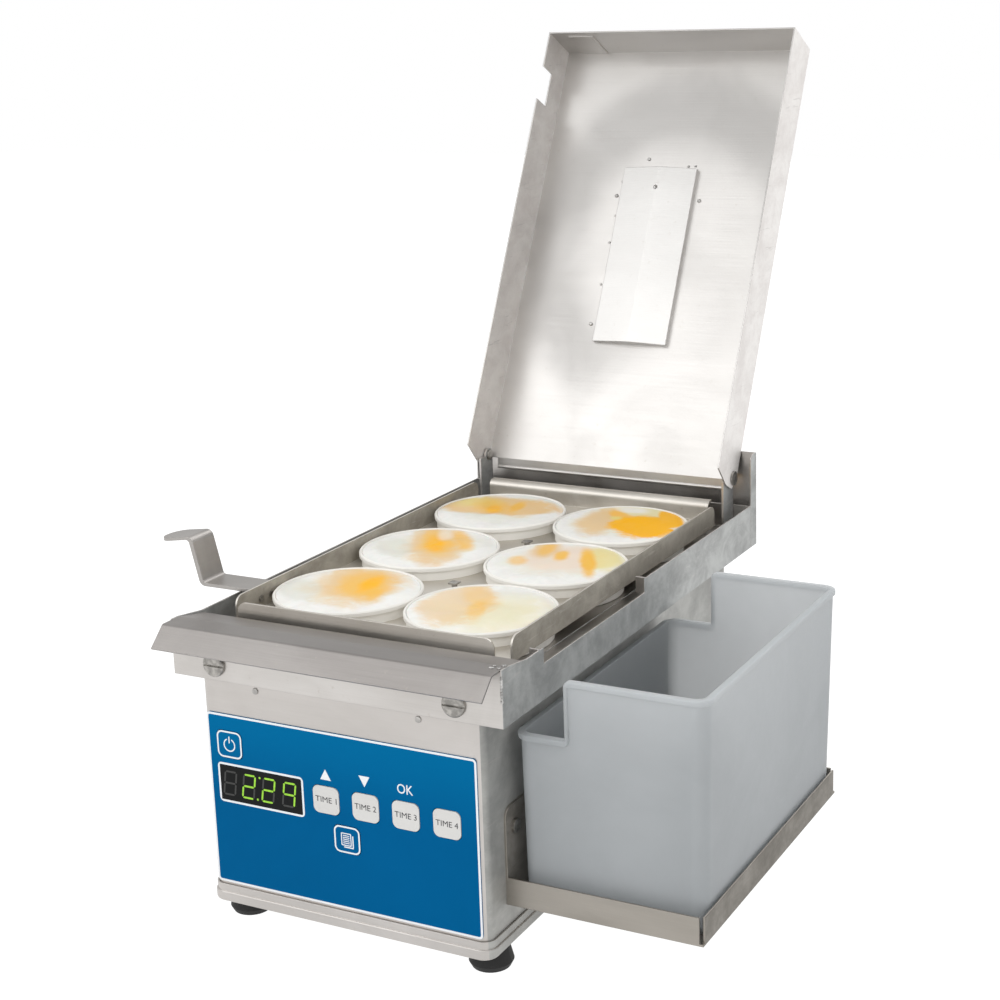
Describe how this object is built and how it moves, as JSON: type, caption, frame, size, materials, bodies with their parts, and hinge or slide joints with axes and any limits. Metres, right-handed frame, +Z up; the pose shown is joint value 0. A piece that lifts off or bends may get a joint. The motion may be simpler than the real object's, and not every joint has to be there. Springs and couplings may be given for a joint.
{
  "type": "egg cooker",
  "caption": "Countertop steam egg cooker with a ring rack, hinged lid with water well, key panel and a waste bin on a side shelf.",
  "frame": {"origin": "on the floor under the middle of the whole object's bounding box, lid open", "axes": "+X towards the waste bin's side, -Y towards the control panel's front, +Z up"},
  "size_m": [0.4606, 0.6586, 0.6181],
  "materials": {
    "stainless": "satin brushed",
    "zinc": "zinc plated",
    "overlay_blue": "printed film",
    "key_cream": "satin",
    "window_dark": "gloss",
    "digit_dark": "satin",
    "board_green": "satin",
    "switch_black": "satin",
    "ring_white": "satin",
    "bin_grey": "satin",
    "rubber_black": "matt",
    "platen_grey": "seasoned",
    "blanket_white": "felted",
    "core_steel": "varnished",
    "coil_tape": "taped",
    "relay_black": "satin",
    "block_white": "satin"
  },
  "bodies": {
    "housing": {"base_pan": "stainless", "body_shell": "stainless", "rear_panel": "stainless", "cook_pan": "stainless", "drip_lip": "stainless", "rear_stop": "stainless", "hinge_brackets": "stainless", "hinge_pins": "zinc", "heat_shield": "zinc", "bin_shelf": "stainless", "skirt_screws": "zinc", "body_rivets": "zinc", "shelf_screws": "zinc", "rear_screws": "zinc", "foot_screws": "zinc", "board_standoffs": "zinc", "element_clamps": "zinc", "heating_elements": "zinc", "temperature_probe": "zinc", "overheat_cutout": "relay_black", "control_overlay": "overlay_blue", "display_window": "window_dark", "display_module": "digit_dark", "control_board": "board_green", "key_switches": "switch_black", "feet": "rubber_black", "platen": "platen_grey", "insulation_blanket": "blanket_white", "transformer_core": "core_steel", "transformer_coil": "coil_tape", "power_relay": "relay_black", "terminal_block": "block_white", "cord_gland": "relay_black"},
    "lid": {"lid_shell": "stainless", "lid_well": "stainless", "lid_front_plate": "stainless", "lid_handle": "stainless"},
    "rack": {"rack_tray": "stainless", "ring_clips": "zinc", "rack_handle": "stainless", "handle_rivets": "zinc", "egg_ring_1": "ring_white", "egg_ring_2": "ring_white", "egg_ring_3": "ring_white", "egg_ring_4": "ring_white", "egg_ring_5": "ring_white", "egg_ring_6": "ring_white"},
    "bin": {"waste_bin": "bin_grey"},
    "power_key": {"key_power": "key_cream"},
    "menu_key": {"key_menu": "key_cream"},
    "time_1_key": {"key_time_1": "key_cream"},
    "time_2_key": {"key_time_2": "key_cream"},
    "time_3_key": {"key_time_3": "key_cream"},
    "time_4_key": {"key_time_4": "key_cream"}
  },
  "joints": [
    {"name": "lid_hinge", "type": "hinge", "parent": "housing", "child": "lid", "pos_m": [-0.0303, 0.1293, 0.25], "axis": [1, 0, 0], "range_deg": [0, 117.3]},
    {"name": "rack_lift", "type": "slide", "parent": "housing", "child": "rack", "axis": [0, 0, 1], "range_m": [0, 0.15]},
    {"name": "bin_tip", "type": "hinge", "parent": "housing", "child": "bin", "pos_m": [0.228, -0.1432, 0.0658], "axis": [0, 1, 0], "range_deg": [0, 20]},
    {"name": "power_key_press", "type": "slide", "parent": "housing", "child": "power_key", "axis": [0, 1, 0], "range_m": [0, 0.0005], "stiffness_N_per_m": 2000},
    {"name": "menu_key_press", "type": "slide", "parent": "housing", "child": "menu_key", "axis": [0, 1, 0], "range_m": [0, 0.0005], "stiffness_N_per_m": 2000},
    {"name": "time_1_key_press", "type": "slide", "parent": "housing", "child": "time_1_key", "axis": [0, 1, 0], "range_m": [0, 0.0005], "stiffness_N_per_m": 2000},
    {"name": "time_2_key_press", "type": "slide", "parent": "housing", "child": "time_2_key", "axis": [0, 1, 0], "range_m": [0, 0.0005], "stiffness_N_per_m": 2000},
    {"name": "time_3_key_press", "type": "slide", "parent": "housing", "child": "time_3_key", "axis": [0, 1, 0], "range_m": [0, 0.0005], "stiffness_N_per_m": 2000},
    {"name": "time_4_key_press", "type": "slide", "parent": "housing", "child": "time_4_key", "axis": [0, 1, 0], "range_m": [0, 0.0005], "stiffness_N_per_m": 2000}
  ]
}
